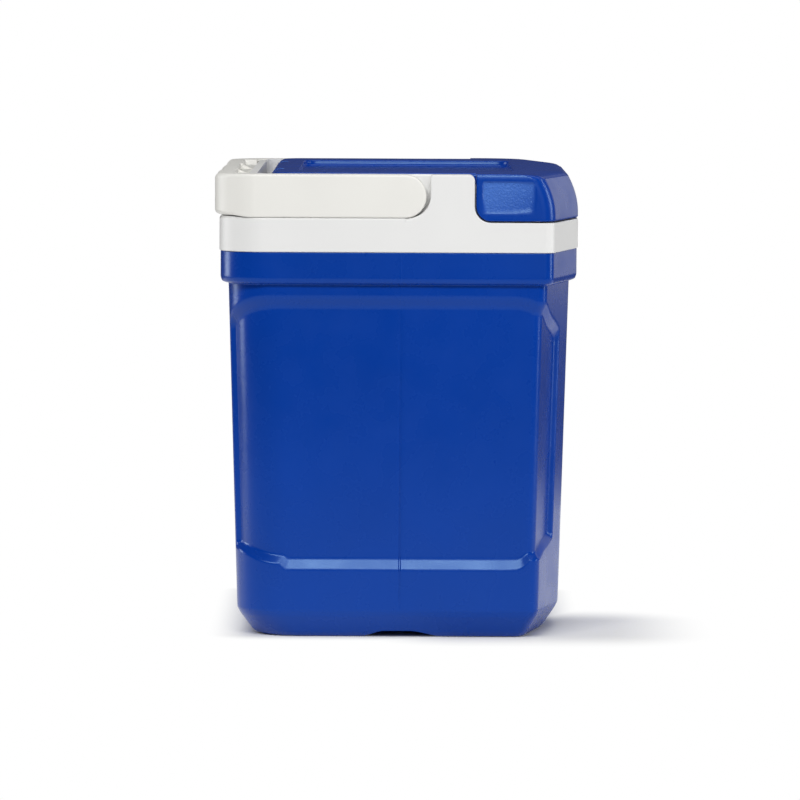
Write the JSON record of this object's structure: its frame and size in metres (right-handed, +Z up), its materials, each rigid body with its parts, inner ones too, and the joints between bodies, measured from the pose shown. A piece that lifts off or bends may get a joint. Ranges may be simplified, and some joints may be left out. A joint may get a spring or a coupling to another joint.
{
  "type": "cooler chest",
  "caption": "Foam-insulated hard cooler chest with a hinged lid, a fixed collar and a swing-up bail handle that stows flush behind the lid.",
  "frame": {"origin": "middle of the flat base, at the centre of the overall box in plan", "axes": "+X along the length, -Y the front where the lid's skirt is, +Y the back where the lid is hinged, +Z up"},
  "size_m": [0.44, 0.3152, 0.4015],
  "materials": {
    "body_blue": "satin",
    "lid_blue": "satin",
    "plug_blue": "satin",
    "collar_white": "satin",
    "handle_white": "satin",
    "grip_white": "satin",
    "tub_white": "gloss",
    "acetal": "satin",
    "foam": "matte",
    "steel": "satin"
  },
  "bodies": {
    "chest": {"body_shell": "body_blue", "body_foam": "foam", "body_fill_plug": "plug_blue", "liner": "tub_white", "collar": "collar_white", "pivot_bush_left": "acetal", "pivot_bush_right": "acetal"},
    "handle": {"handle_bail": "handle_white", "handle_grip": "grip_white", "handle_pin_left": "steel", "handle_pin_right": "steel", "pin_clip_left": "steel", "pin_clip_right": "steel"},
    "lid": {"lid_shell": "lid_blue", "lid_foam": "foam", "lid_liner": "tub_white", "lid_fill_plug": "tub_white", "hinge_pin_left": "steel", "hinge_pin_right": "steel"}
  },
  "joints": [
    {"name": "handle_swing", "type": "hinge", "parent": "chest", "child": "handle", "pos_m": [0, -0.00635, 0.382], "axis": [1, 0, 0], "range_deg": [0, 96]},
    {"name": "lid_hinge", "type": "hinge", "parent": "chest", "child": "lid", "pos_m": [0, 0.103, 0.393], "axis": [-1, 0, 0], "range_deg": [0, 100]}
  ]
}
